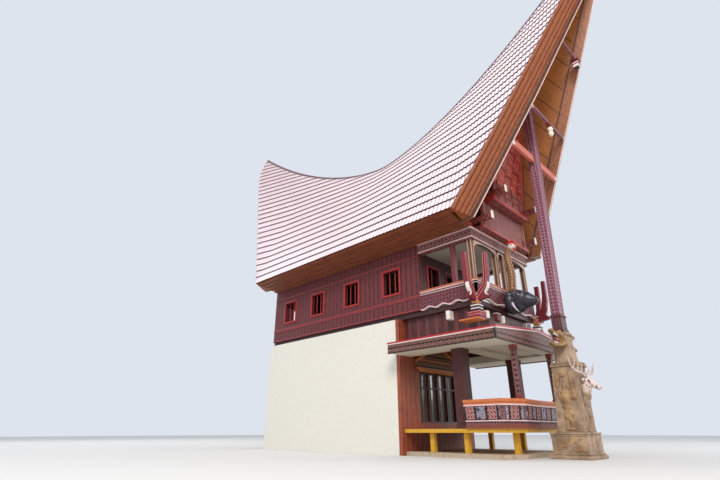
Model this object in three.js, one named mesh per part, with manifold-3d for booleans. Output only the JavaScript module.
// Tongkonan: a saddle-roofed house on a masonry porch storey, with a leaning prow at each end.
// Millimetres, X across the house, Y along the ridge with the entrance front at -Y, Z up.
// The origin is on the ground, midway between the two prows.
import * as THREE from 'three';
import { mergeVertices } from 'three/addons/utils/BufferGeometryUtils.js';
import Module from 'manifold-3d';

const wasm = await Module();
wasm.setup();

// Clearance between pieces that touch
const SEAT = 0.3;

// Roof: ridge line, eaves and the slope between them
const RIDGE_LOW_Z = 16300;
const RIDGE_RISE = 7100;
const RIDGE_HALF = 13900;
const RIDGE_POWER = 1.6;
const EAVE_Z = 9300;
const EAVE_X = 4100;
const EAVE_HALF = 7150;
const SLOPE_POWER = 0.9;
const SHELL = 350;

// Roof: the layered rim, whose inner edge stands forward of the tiles and hangs lower
const RIM_OUTER = 60;
const RIM = 1200;
const RIM_FORWARD = 550;
const RIM_LAP = 20;
const RIM_HANG = 0.03;
const LINING = [1060, 1180];
const NARROWING = 0.14;
const NARROW_UNTIL = 0.4;

// Roof: leaning plane of the prow's rim
const LEAN_START_Y = 6970;
const LEAN_START_Z = 8960;
const LEAN = 0.53;
const CREST_ROUND_Z = 20000;
const CREST_ROUND = 720;

// Storey heights
const DECK_TOP = 1000;
const DECK_THICK = 140;
const RAIL_TOP = 2000;
const SOFFIT_Z = 4000;
const CANOPY_TOP = 4340;
const FLOOR_UNDER = 5620;
const FLOOR_TOP = 5840;
const BALCONY_TOP = 6640;
const BEAM_UNDER = 8500;
const BEAM_TOP = 9000;

// Plan
const CANOPY_X = 3500;
const CANOPY_FRONT_Y = -8080;
const CANOPY_BACK_Y = -3020;
const RECESS_X = 2040;
const BODY_X = 2600;
const BODY_Y = 7050;
const BASE_X = 2300;
const BASE_FRONT_Y = -6750;
const COLUMN_X = 2270;
const COLUMN_Y = -5780;
const COLUMN = 480;
const SLIM_X = 1640;
const SLIM_Y = -7780;
const SLIM = 190;
const BACK_WALL_Y = -3000;
const LOGGIA_BACK_Y = -4200;
const WALL = 200;
const PARTY_X = 2750;
const PARTY_WALL = 250;

// Front pillar and its leaning post: across, deep, and place along Y at the foot and head of each
const PEDESTAL_TOP = 840;
const SHAFT_TOP = 3300;
const BLOCK_TOP = 4500;
const PEDESTAL_FOOT = [1400, 1300, -8940];
const PEDESTAL_HEAD = [1340, 1240, -8960];
const SHAFT_FOOT = [980, 980, -9000];
const SHAFT_HEAD = [920, 920, -9120];
const BLOCK_FOOT = [660, 660, -9100];
const BLOCK_HEAD = [500, 500, -9070];
const POST_FOOT = [460, 320, -9060];
const POST_HEAD = [460, 320, -9470];

// Carved wall above the upper gable box
const UPPER_BOX_TOP = 11600;
const CARVED_TOP = 17150;
const CARVED_FOOT_Y = 7590;
const CARVED_LEAN = 0.29;

// Animal figures: middle along Y and Z, then half sizes across, along and up
const BUFFALO = [-7610, 6080, 400, 760, 540];
const STAG = [-9700, 2450, 230, 440, 620];

const material = (colour, roughness) => new THREE.MeshStandardMaterial({
  color: colour,
  roughness,
  metalness: 0,
});

const MATERIALS = {
  tile: material(0xe9d5d8, 0.45),
  board: material(0xb5652c, 0.6),
  lining: material(0x9a5228, 0.65),
  carved: material(0x7c2a3a, 0.6),
  dark_wood: material(0x4a1712, 0.5),
  red: material(0xa82a2a, 0.55),
  salmon: material(0xd0605c, 0.6),
  stone: material(0x8a6a4c, 0.8),
  plaster: material(0xdcdad2, 0.8),
  glass: material(0x39434a, 0.2),
  gold: material(0xb08a3c, 0.5),
  black: material(0x22252a, 0.4),
  bone: material(0xd8cfc0, 0.6),
  yellow: material(0xd9a514, 0.6),
};

const house = new THREE.Group();

function addPiece(name, geometry, finish) {
  const piece = new THREE.Mesh(geometry, MATERIALS[finish].clone());
  piece.name = name;
  house.add(piece);
  return piece;
}

// Solids: boxes, extruded outlines and boxes bent over a surface

function boxFrom(x0, x1, y0, y1, z0, z1) {
  const geometry = new THREE.BoxGeometry(x1 - x0, y1 - y0, z1 - z0);
  return geometry.translate((x0 + x1) / 2, (y0 + y1) / 2, (z0 + z1) / 2);
}

function outline(points) {
  return new THREE.Shape(points.map(([a, b]) => new THREE.Vector2(a, b)));
}

// A plan outline raised from z0 to z1
function raised(points, z0, z1) {
  const geometry = new THREE.ExtrudeGeometry(outline(points), { depth: z1 - z0, bevelEnabled: false });
  return geometry.translate(0, 0, z0);
}

// An outline in X and Z drawn along Y
function alongY(points, y0, y1) {
  const geometry = new THREE.ExtrudeGeometry(outline(points), { depth: y1 - y0, bevelEnabled: false });
  return geometry.rotateX(Math.PI / 2).translate(0, y1, 0);
}

// An outline in Y and Z drawn along X
function alongX(points, x0, x1) {
  const geometry = new THREE.ExtrudeGeometry(outline(points), { depth: x1 - x0, bevelEnabled: false });
  return geometry.rotateX(Math.PI / 2).rotateZ(Math.PI / 2).translate(x0, 0, 0);
}

// A square block that narrows from its foot to its head, with its head shifted along Y
function tapered(foot, head, z0, z1, grow = 0) {
  const geometry = new THREE.BoxGeometry(1, 1, 1);
  const place = geometry.attributes.position;
  for (let i = 0; i < place.count; i += 1) {
    const high = place.getZ(i) > 0;
    const [across, deep, y] = high ? head : foot;
    const px = place.getX(i) * (across + grow);
    const py = y + place.getY(i) * (deep + grow);
    place.setXYZ(i, px, py, high ? z1 : z0);
  }
  return geometry;
}

// A box of unit size, cut into steps, whose points are moved by the given rule
function bentBox(stepsA, stepsB, stepsC, rule) {
  const geometry = new THREE.BoxGeometry(1, 1, 1, stepsA, stepsB, stepsC);
  const place = geometry.attributes.position;
  for (let i = 0; i < place.count; i += 1) {
    const point = rule(place.getX(i) + 0.5, place.getY(i) + 0.5, place.getZ(i) + 0.5);
    place.setXYZ(i, point[0], point[1], point[2]);
  }
  return geometry;
}

function toSolid(geometry) {
  const plain = new THREE.BufferGeometry();
  plain.setAttribute('position', geometry.attributes.position.clone());
  if (geometry.index) plain.setIndex(geometry.index.clone());
  const merged = mergeVertices(plain, 0.0001);
  const mesh = new wasm.Mesh({
    numProp: 3,
    vertProperties: new Float32Array(merged.attributes.position.array),
    triVerts: new Uint32Array(merged.index.array),
  });
  return new wasm.Manifold(mesh);
}

function fromSolid(solid) {
  const mesh = solid.getMesh();
  const geometry = new THREE.BufferGeometry();
  geometry.setAttribute('position', new THREE.BufferAttribute(mesh.vertProperties, 3));
  geometry.setIndex(new THREE.BufferAttribute(mesh.triVerts, 1));
  return geometry;
}

function join(first, ...others) {
  return fromSolid(others.reduce((sum, next) => sum.add(toSolid(next)), toSolid(first)));
}

// What is left of the first shape, without the thin slivers that a cut along a face leaves loose
function cut(first, ...tools) {
  const rest = tools.reduce((left, tool) => left.subtract(toSolid(tool)), toSolid(first));
  const bodies = rest.decompose();
  bodies.sort((a, b) => b.volume() - a.volume());
  return fromSolid(bodies[0]);
}

// The first shape trimmed by a second one and by a copy of it moved by the gap
function clearOf(first, tool, gap) {
  return cut(first, tool, tool.clone().translate(gap[0], gap[1], gap[2]));
}

// The same shape on the other side of the ridge plane, X = 0
function mirrorX(geometry) {
  const flat = geometry.index ? geometry.toNonIndexed() : geometry.clone();
  const place = flat.attributes.position;
  for (let i = 0; i < place.count; i += 3) {
    const corners = [0, 2, 1].map((k) => [-place.getX(i + k), place.getY(i + k), place.getZ(i + k)]);
    corners.forEach((corner, k) => place.setXYZ(i + k, corner[0], corner[1], corner[2]));
  }
  return flat;
}

// A right-hand shape and its mirror image, made one where they meet on X = 0
function bothSides(geometry) {
  const nearer = geometry.clone().translate(-2 * SEAT, 0, 0);
  return join(nearer, mirrorX(nearer));
}

// The same shape at the rear end, turned half way round the upright through the origin
function turned(geometry) {
  return geometry.clone().rotateZ(Math.PI);
}

// Roof surface

function ridgeZ(y) {
  return RIDGE_LOW_Z + RIDGE_RISE * (Math.abs(y) / RIDGE_HALF) ** RIDGE_POWER;
}

function slopeSpread(y) {
  const within = Math.min(Math.abs(y), EAVE_HALF);
  return EAVE_X / (ridgeZ(within) - EAVE_Z) ** SLOPE_POWER;
}

// Distance of the prow's rim from the middle of the house at a height
function rimY(z) {
  const lean = LEAN_START_Y + LEAN * (z - LEAN_START_Z);
  const crest = Math.max(0, z - CREST_ROUND_Z) / (RIDGE_LOW_Z + RIDGE_RISE - CREST_ROUND_Z);
  return lean - CREST_ROUND * crest * crest;
}

// A point of the surface that lies inset from the tiles, measured level, at a share of the slope
function roofPoint(inset, share, y) {
  const spread = slopeSpread(y);
  const apex = (inset / spread) ** (1 / SLOPE_POWER);
  const drop = apex + (ridgeZ(y) - EAVE_Z - apex) * share;
  const x = spread * drop ** SLOPE_POWER - inset;
  return [Math.max(x, 0) + SEAT, y, ridgeZ(y) - drop];
}

// The rim's place on that surface, found by walking to the leaning plane
function rimPoint(inset, share, back = 0) {
  let y = -RIDGE_HALF;
  for (let i = 0; i < 60; i += 1) {
    y = -rimY(roofPoint(inset, share, y)[2]) + back;
  }
  return roofPoint(inset, share, y);
}

function slopeShare(step) {
  return step ** 1.4;
}

// The rim and the boards behind it grow narrower towards the ridge
function narrowed(inset, share) {
  return inset * (1 - NARROWING * (1 - Math.min(1, share / NARROW_UNTIL)));
}

// One slope between two insets, from one prow to the other
function slopeShell(insetOut, insetIn) {
  return bentBox(1, 28, 12, (a, b, c) => {
    const inset = insetOut + (insetIn - insetOut) * (1 - a);
    const share = slopeShare(1 - c);
    const end = rimPoint(inset, share)[1];
    return roofPoint(inset, share, end * (1 - 2 * b));
  });
}

// The rim's band at the front end of one slope
function slopeRim() {
  return bentBox(1, 1, 12, (a, b, c) => {
    const share = slopeShare(1 - c);
    const inset = RIM_OUTER + (narrowed(RIM, share) - RIM_OUTER) * (1 - a);
    const front = -RIM_FORWARD * inset / RIM;
    return rimPoint(inset, share * (1 + RIM_HANG * (1 - a)), front + (RIM_LAP - front) * b);
  });
}

// Boards under the front overhang, from the rim back to the gable
function slopeLining(backY) {
  return bentBox(1, 4, 12, (a, b, c) => {
    const share = slopeShare(1 - c);
    const inset = narrowed(LINING[1] + (LINING[0] - LINING[1]) * a, share);
    const front = rimPoint(inset, share, RIM_LAP + SEAT)[1];
    return roofPoint(inset, share, front + (backY - front) * b);
  });
}

function eaveBand() {
  const inner = BODY_X + 20;
  const steps = 5;
  const outer = EAVE_X - 60;
  const stepX = (outer - inner) / steps;
  const stepZ = 70;
  const top = EAVE_Z - SEAT;
  const profile = [[inner, top], [inner, top - steps * stepZ]];
  for (let i = 1; i <= steps; i += 1) {
    profile.push([inner + stepX * i, top - (steps + 1 - i) * stepZ]);
    profile.push([inner + stepX * i, top - (steps - i) * stepZ]);
  }
  return alongY(profile.reverse(), -EAVE_HALF + 200, EAVE_HALF - 200);
}

// One slope of the tiled roof, the prow's rim, the boards behind it and the lowest tie
const ROOF_SLOPE = slopeShell(0, SHELL);
const PROW_RIM = prowRim();
const PROW_LINING = prowLining();
const TIE_LOW = tieBeam(12460, 2120, 360, 130, -9310);

// The same rim serves the rear prow, so it is trimmed to both ends of the slope
function prowRim() {
  const front = clearOf(slopeRim(), ROOF_SLOPE, [0, -SEAT, 0]);
  const right = clearOf(front, turned(mirrorX(ROOF_SLOPE)), [0, -SEAT, 0]);
  return bothSides(right);
}

function prowLining() {
  const both = bothSides(slopeLining(-BODY_Y + 60));
  return clearOf(both, PROW_RIM, [0, SEAT, 0]);
}

function addRoof() {
  const eave = eaveBand();
  addPiece('roof_right', ROOF_SLOPE, 'tile');
  addPiece('roof_left', mirrorX(ROOF_SLOPE), 'tile');
  addPiece('rim_front', PROW_RIM, 'board');
  addPiece('rim_rear', turned(PROW_RIM), 'board');
  addPiece('lining_front', PROW_LINING, 'lining');
  addPiece('lining_rear', turned(PROW_LINING), 'lining');
  addPiece('eave_right', eave, 'board');
  addPiece('eave_left', mirrorX(eave), 'board');
}

// Ground storey

const DECK_PLAN = [
  [-2600, BACK_WALL_Y - SEAT],
  [-2600, -7500],
  [-1700, -7930],
  [-600, -7800],
  [600, -7800],
  [1700, -7930],
  [2600, -7500],
  [2600, BACK_WALL_Y - SEAT],
];
const STUB = 190;
const STUB_FOOT = 150;

function scaledPlan(points, inset) {
  const ratio = (2600 - inset) / 2600;
  return points.map(([x, y]) => [x * ratio, BACK_WALL_Y + (y - BACK_WALL_Y) * ratio]);
}

function addPorchFloor() {
  const slab = raised(DECK_PLAN, DECK_TOP - DECK_THICK, DECK_TOP);
  const stubs = [];
  for (const side of [-1, 1]) {
    for (const y of [-7450, -5780, -4200]) {
      const x = side * (y < -7000 ? SLIM_X : COLUMN_X);
      const half = STUB / 2;
      stubs.push(boxFrom(x - half, x + half, y - half, y + half, STUB_FOOT + SEAT, DECK_TOP - 10));
    }
  }
  addPiece('porch_floor', join(slab, ...stubs), 'yellow');
  const outer = raised(scaledPlan(DECK_PLAN, 60), 0, STUB_FOOT);
  addPiece('porch_plinth', outer, 'stone');
}

// The carved parapet round the porch: a wall on the deck's bowed edge that leans outwards
function addPorchRail() {
  const front = DECK_PLAN.slice(1, 7);
  const back = COLUMN_Y - COLUMN / 2 - SEAT;
  const thick = 130;
  const outer = [[-2600, back], ...front, [2600, back]];
  const inner = front.map(([x, y]) => [x * (1 - thick / 2600), y + thick]);
  inner.reverse();
  const plan = [...outer, [2600 - thick, back], ...inner, [-2600 + thick, back]];
  const rail = raised(plan, DECK_TOP + SEAT, RAIL_TOP);
  const place = rail.attributes.position;
  const spread = 1.045;
  for (let i = 0; i < place.count; i += 1) {
    if (place.getZ(i) > DECK_TOP + 10) {
      const y = place.getY(i);
      place.setXYZ(i, place.getX(i) * spread, back + (y - back) * spread, place.getZ(i));
    }
  }
  addPiece('porch_rail', rail, 'carved');
}

function addPorchPosts() {
  for (const [side, word] of [[-1, 'left'], [1, 'right']]) {
    const x = side * COLUMN_X;
    const half = COLUMN / 2;
    const top = SOFFIT_Z - SEAT;
    const column = boxFrom(x - half, x + half, COLUMN_Y - half, COLUMN_Y + half, DECK_TOP + SEAT, top);
    addPiece(`porch_column_${word}`, column, 'dark_wood');
    const sx = side * SLIM_X;
    const slim = SLIM / 2;
    const post = boxFrom(sx - slim, sx + slim, SLIM_Y - slim, SLIM_Y + slim, RAIL_TOP + SEAT, top);
    addPiece(`porch_post_${word}`, post, 'carved');
  }
}

function addCanopy() {
  const slab = boxFrom(-CANOPY_X, CANOPY_X, CANOPY_FRONT_Y, CANOPY_BACK_Y, SOFFIT_Z, CANOPY_TOP);
  const recessFront = COLUMN_Y + COLUMN / 2;
  const recessBack = CANOPY_BACK_Y + 10;
  const recess = boxFrom(-RECESS_X, RECESS_X, recessFront, recessBack, SOFFIT_Z - 10, CANOPY_TOP + 10);
  const tray = boxFrom(-1850, 1850, -7450, -6250, SOFFIT_Z - 10, SOFFIT_Z + 70);
  addPiece('canopy_slab', cut(slab, recess, tray), 'plaster');
  const thick = 70;
  const low = SOFFIT_Z - 40;
  const edge = CANOPY_TOP + 40;
  const apex = CANOPY_TOP + 380;
  const reach = CANOPY_X + thick;
  const profile = [[-reach, low], [reach, low], [reach, edge], [0, apex], [-reach, edge]];
  const front = alongY(profile, CANOPY_FRONT_Y - thick, CANOPY_FRONT_Y - SEAT);
  const left = boxFrom(-reach, -CANOPY_X - SEAT, CANOPY_FRONT_Y - 10, CANOPY_BACK_Y, low, edge);
  addPiece('canopy_fascia', join(front, left, mirrorX(left)), 'carved');
}

function addBackWall() {
  const wall = boxFrom(-PARTY_X, PARTY_X, BACK_WALL_Y, BACK_WALL_Y + WALL, 0, FLOOR_UNDER - SEAT);
  const opening = boxFrom(-1450, 1450, BACK_WALL_Y - 10, BACK_WALL_Y + WALL + 10, 1250, 3450);
  addPiece('porch_back_wall', cut(wall, opening), 'lining');
  const half = 1450 - SEAT;
  const outer = boxFrom(-half, half, BACK_WALL_Y + 20, BACK_WALL_Y + 140, 1250 + SEAT, 3450 - SEAT);
  const panes = [];
  for (let i = 0; i < 4; i += 1) {
    const x0 = -1390 + i * 705;
    panes.push(boxFrom(x0, x0 + 645, BACK_WALL_Y, BACK_WALL_Y + 150, 1320, 3380));
  }
  addPiece('window_frame', cut(outer, ...panes), 'dark_wood');
  const glassY = BACK_WALL_Y + 140 + SEAT;
  addPiece('window_glass', boxFrom(-1420, 1420, glassY, glassY + 12, 1280, 3420), 'glass');
  const gable = [[-1650, 3500], [1650, 3500], [1650, 3950], [0, 4780], [-1650, 3950]];
  addPiece('window_gable', alongY(gable, BACK_WALL_Y - 120, BACK_WALL_Y - SEAT), 'board');
}

function addGroundRoom() {
  const y0 = BACK_WALL_Y + WALL + SEAT;
  const side = boxFrom(PARTY_X - PARTY_WALL, PARTY_X, y0, BODY_Y, 0, FLOOR_UNDER - SEAT);
  addPiece('party_wall_right', side, 'plaster');
  addPiece('party_wall_left', mirrorX(side), 'plaster');
  const inner = PARTY_X - PARTY_WALL - SEAT;
  const rear = boxFrom(-inner, inner, BODY_Y - WALL, BODY_Y, 0, FLOOR_UNDER - SEAT);
  const holes = [-1650, 0, 1650].map((x) => {
    const low = x === 0 ? DECK_TOP : 1900;
    return boxFrom(x - 450, x + 450, BODY_Y - WALL - 10, BODY_Y + 10, low, 3400);
  });
  addPiece('rear_wall', cut(rear, ...holes), 'lining');
  const floor = boxFrom(-inner, inner, y0, BODY_Y - WALL - SEAT, DECK_TOP - DECK_THICK, DECK_TOP);
  addPiece('room_floor', floor, 'plaster');
}

// Upper storey

const BAND = 90;
const POST = 200;
const POST_Y = -6850;
const CORNER_POST_X = 2390;
const MIDDLE_POST_X = 350;
const SIDE_POST_Y = -5950;

function uShape(x, y0, y1, thick, z0, z1) {
  const points = [[-x, y1], [-x, y0], [x, y0], [x, y1]];
  points.push([x - thick, y1], [x - thick, y0 + thick], [-x + thick, y0 + thick], [-x + thick, y1]);
  return raised(points, z0, z1);
}

function addUpperFloor() {
  const skirt = uShape(BASE_X, BASE_FRONT_Y, BACK_WALL_Y - SEAT, 120, CANOPY_TOP + SEAT, FLOOR_UNDER - SEAT);
  addPiece('floor_skirt', skirt, 'dark_wood');
  const edge = BODY_X - BAND - SEAT;
  const slab = boxFrom(-edge, edge, -BODY_Y + BAND + SEAT, BODY_Y, FLOOR_UNDER, FLOOR_TOP);
  addPiece('upper_floor', slab, 'dark_wood');
  const panels = uShape(BODY_X, -BODY_Y, LOGGIA_BACK_Y, BAND, FLOOR_UNDER, BALCONY_TOP);
  addPiece('balcony_panels', panels, 'carved');
}

// A corner bracket: stepped blocks under the floor and two crossing boards whose ends rise like horns
function cornerHorns() {
  const x = BODY_X + 120;
  const y = -BODY_Y + 20;
  const half = 95;
  const foot = boxFrom(x - 330, x + 190, y - 190, y + 330, 4940, 5260);
  const band = boxFrom(x - 160, x + 160, y - 160, y + 160, 5250, 5510);
  const neck = boxFrom(x - 120, x + 120, y - 120, y + 120, 5500, 5960);
  const outer = [[0, 5620], [300, 5700], [600, 5740], [680, 5840], [510, 5970], [600, 6300], [680, 6650]];
  const inner = [[700, 7600], [540, 7600], [500, 6900], [380, 6350], [120, 6000], [0, 5950]];
  const profile = [...outer, ...inner];
  const frontHorn = alongY(profile.map(([a, z]) => [x + a, z]), y - half, y + half);
  const sideHorn = alongX(profile.map(([a, z]) => [y - a, z]).reverse(), x - half, x + half);
  const joined = join(foot, band, neck, frontHorn, sideHorn);
  const reach = BODY_X + SEAT;
  const body = boxFrom(-reach, reach, -BODY_Y - SEAT, 0, FLOOR_UNDER - SEAT, BEAM_TOP);
  return cut(joined, body);
}

function addUpperFrame() {
  const right = cornerHorns();
  addPiece('horn_corner_right', right, 'red');
  addPiece('horn_corner_left', mirrorX(right), 'red');
  const posts = [];
  for (const side of [-1, 1]) {
    for (const [px, y] of [[CORNER_POST_X, POST_Y], [MIDDLE_POST_X, POST_Y], [CORNER_POST_X, SIDE_POST_Y]]) {
      const x = side * px;
      const half = POST / 2;
      posts.push(boxFrom(x - half, x + half, y - half, y + half, FLOOR_TOP + SEAT, BEAM_UNDER + 10));
    }
  }
  const beams = uShape(BODY_X, -BODY_Y, LOGGIA_BACK_Y - SEAT, 320, BEAM_UNDER, BEAM_TOP);
  addPiece('loggia_frame', join(beams, ...posts), 'carved');
  const inner = BODY_X - 320 - SEAT;
  const ceiling = boxFrom(-inner, inner, -BODY_Y + 320 + SEAT, LOGGIA_BACK_Y - SEAT, 8620, 8700);
  const tray = boxFrom(-1500, 1500, -6300, -4900, 8600, 8650);
  addPiece('loggia_ceiling', cut(ceiling, tray), 'plaster');
}

function addUpperRoom() {
  const inner = BODY_X - WALL - SEAT;
  const low = FLOOR_TOP + SEAT;
  const front = boxFrom(-inner, inner, LOGGIA_BACK_Y, LOGGIA_BACK_Y + WALL, low, BEAM_TOP);
  const frontHoles = [-1500, 0, 1500].map((x) => {
    const sill = x === 0 ? low : 6700;
    return boxFrom(x - 450, x + 450, LOGGIA_BACK_Y - 10, LOGGIA_BACK_Y + WALL + 10, sill - 1, 8050);
  });
  addPiece('loggia_wall', cut(front, ...frontHoles), 'dark_wood');
  const side = boxFrom(BODY_X - WALL, BODY_X, LOGGIA_BACK_Y + SEAT, BODY_Y, low, BEAM_TOP);
  const sideHoles = [-2500, 250, 3000, 5500].map((y) => {
    return boxFrom(BODY_X - WALL - 10, BODY_X + 10, y - 500, y + 500, 6900, 8100);
  });
  const wall = cut(side, ...sideHoles);
  addPiece('upper_wall_right', wall, 'carved');
  addPiece('upper_wall_left', mirrorX(wall), 'carved');
  const rear = boxFrom(-inner, inner, BODY_Y - WALL, BODY_Y, low, BEAM_TOP);
  const rearHoles = [-1500, 0, 1500].map((x) => {
    return boxFrom(x - 450, x + 450, BODY_Y - WALL - 10, BODY_Y + 10, 6900, 8100);
  });
  addPiece('upper_wall_rear', cut(rear, ...rearHoles), 'carved');
}

// Gables

function gableWall() {
  const y = -BODY_Y + 200;
  const right = [];
  for (let i = 0; i <= 6; i += 1) {
    const point = roofPoint(narrowed(LINING[1] + 60, i / 6), i / 6, y - 60);
    right.push([point[0], point[2]]);
  }
  right.push([BODY_X, EAVE_Z], [BODY_X, BEAM_TOP + SEAT]);
  const left = right.map(([x, z]) => [-x, z]).reverse();
  left.pop();
  return alongY([...right.reverse(), ...left.reverse()].reverse(), y - 60, y + 60);
}

// The carved wall above the upper box leans forward and is trimmed to the boards under the prow
function carvedFrontY(z) {
  return -CARVED_FOOT_Y - CARVED_LEAN * (z - UPPER_BOX_TOP);
}

function carvedWall() {
  const right = [];
  for (let share = 0; share <= 0.8; share += 0.1) {
    let y = -CARVED_FOOT_Y;
    for (let i = 0; i < 30; i += 1) {
      y = carvedFrontY(roofPoint(narrowed(1120, share), share, y)[2]);
    }
    const point = roofPoint(narrowed(1120, share), share, y);
    right.push([point[0], point[2]]);
  }
  const left = right.map(([x, z]) => [-x, z]).reverse();
  const upright = alongY([...left, ...right.slice(1)], 0, 100);
  const place = upright.attributes.position;
  for (let i = 0; i < place.count; i += 1) {
    place.setY(i, place.getY(i) + carvedFrontY(place.getZ(i)));
  }
  const below = boxFrom(-4000, 4000, -12000, 0, 0, UPPER_BOX_TOP + SEAT);
  const above = boxFrom(-4000, 4000, -12000, 0, CARVED_TOP, 25000);
  const nearer = clearOf(cut(upright, below, above), PROW_LINING, [-SEAT, 0, 0]);
  return clearOf(nearer, PROW_LINING, [SEAT, 0, 0]);
}

function gableBox(half, shoulder, y0, z0, z1, reach, boardZ) {
  const back = -BODY_Y + 140 - SEAT;
  const front = alongY([[-half, z0], [half, z0], [shoulder, z1], [-shoulder, z1]], y0, y0 + 100);
  const right = boxFrom(half - 150, half, y0 - reach, back, boardZ, boardZ + 260);
  const floor = boxFrom(-half, half, y0, back, z0, z0 + 120);
  return join(floor, front, right, mirrorX(right));
}

function addGables() {
  const wall = gableWall();
  addPiece('gable_wall_front', wall, 'red');
  addPiece('gable_wall_rear', turned(wall), 'red');
  const lower = gableBox(2150, 1900, -7400, BEAM_TOP + SEAT, 10400, 460, 9310);
  const upper = gableBox(1560, 1350, -7800, 10400 + SEAT, UPPER_BOX_TOP, 560, 10650);
  addPiece('gable_lower_front', lower, 'carved');
  addPiece('gable_upper_front', upper, 'carved');
  addPiece('gable_carved_front', carvedWall(), 'red');
  addPiece('gable_lower_rear', turned(lower), 'carved');
}

// Pillars, leaning posts and ties

// The post rises from the pillar to the peak of the boards under the prow, and the low tie passes through it
function leaningPost() {
  const top = roofPoint(narrowed(LINING[1], 0), 0, POST_HEAD[2])[2] - 130;
  const post = tapered(POST_FOOT, POST_HEAD, BLOCK_TOP + SEAT, top);
  const pierced = clearOf(post, TIE_LOW, [0, SEAT, SEAT]);
  const eased = clearOf(pierced, TIE_LOW, [0, -SEAT, -SEAT]);
  return clearOf(eased, PROW_LINING, [0, 0, -2 * SEAT]);
}

function addPillars() {
  const pedestal = tapered(PEDESTAL_FOOT, PEDESTAL_HEAD, 0, PEDESTAL_TOP);
  const shaft = tapered(SHAFT_FOOT, SHAFT_HEAD, PEDESTAL_TOP + SEAT, SHAFT_TOP);
  const block = tapered(BLOCK_FOOT, BLOCK_HEAD, SHAFT_TOP + SEAT, BLOCK_TOP);
  addPiece('pillar_pedestal_front', pedestal, 'stone');
  addPiece('pillar_shaft_front', shaft, 'stone');
  addPiece('pillar_block_front', block, 'stone');
  const longShaft = tapered(SHAFT_FOOT, SHAFT_HEAD, PEDESTAL_TOP - 10, SHAFT_TOP);
  const longBlock = tapered(BLOCK_FOOT, BLOCK_HEAD, SHAFT_TOP - 10, BLOCK_TOP);
  addPiece('pillar_rear', turned(join(pedestal, longShaft, longBlock)), 'stone');
  const post = leaningPost();
  addPiece('leaning_post_front', post, 'carved');
  addPiece('leaning_post_rear', turned(post), 'carved');
}

// A level beam between the two slopes of the rim, trimmed to their inner faces
function tieBeam(z, half, height, depth, y) {
  const reach = half + 60;
  const beam = boxFrom(-reach, reach, y - depth / 2, y + depth / 2, z - height / 2, z + height / 2);
  const nearer = clearOf(beam, PROW_RIM, [-SEAT, 0, 0]);
  return clearOf(nearer, PROW_RIM, [SEAT, 0, 0]);
}

function addTies() {
  const middle = tieBeam(14160, 1700, 180, 120, -10230);
  const high = tieBeam(17330, 1000, 130, 110, -11860);
  addPiece('tie_low_front', TIE_LOW, 'salmon');
  addPiece('tie_middle_front', middle, 'salmon');
  addPiece('tie_high_front', high, 'salmon');
  addPiece('tie_low_rear', turned(TIE_LOW), 'salmon');
}

// Animal figures

function ellipsoid([y, z, across, deep, high], grow = 0) {
  const ball = new THREE.SphereGeometry(1, 16, 10);
  return ball.scale(across + grow, deep + grow, high + grow).translate(0, y, z);
}

function addFigures() {
  const front = -BODY_Y;
  const room = boxFrom(-2000, 2000, front - SEAT, front + 3000, 4000, 8000);
  addPiece('buffalo_head', cut(ellipsoid(BUFFALO), room), 'black');
  const path = new THREE.CatmullRomCurve3([
    new THREE.Vector3(0, front - 260, 6400),
    new THREE.Vector3(0, front - 420, 7200),
    new THREE.Vector3(0, front - 330, 7900),
    new THREE.Vector3(0, front - 300, 8500),
    new THREE.Vector3(0, front - 620, 8850),
  ]);
  const round = new THREE.Shape().absarc(0, 0, 150, 0, Math.PI * 2, false);
  const sweep = { steps: 16, curveSegments: 4, extrudePath: path, bevelEnabled: false };
  const neck = new THREE.ExtrudeGeometry(round, sweep);
  addPiece('cockerel_neck', cut(neck, ellipsoid(BUFFALO, SEAT)), 'gold');
  const under = [[-1270, 4100], [-1230, 3930], [-600, 3760], [-250, 3850]];
  const jaw = [...under, [-250, 4450], [-620, 4500], [-1080, 4420]];
  const crocodile = alongY(jaw, BLOCK_FOOT[2] - 210, BLOCK_FOOT[2] + 210);
  const block = tapered(BLOCK_FOOT, BLOCK_HEAD, SHAFT_TOP + SEAT, BLOCK_TOP, 2 * SEAT);
  const croc = cut(crocodile, block);
  addPiece('crocodile_left', croc, 'gold');
  addPiece('crocodile_right', mirrorX(croc), 'gold');
  const shaft = tapered(SHAFT_FOOT, SHAFT_HEAD, PEDESTAL_TOP + SEAT, SHAFT_TOP, 2 * SEAT);
  addPiece('stag_head', cut(ellipsoid(STAG), shaft), 'bone');
}

addPorchFloor();
addPorchRail();
addPorchPosts();
addCanopy();
addBackWall();
addGroundRoom();
addUpperFloor();
addUpperFrame();
addUpperRoom();
addGables();
addPillars();
addTies();
addFigures();
addRoof();

export default house;
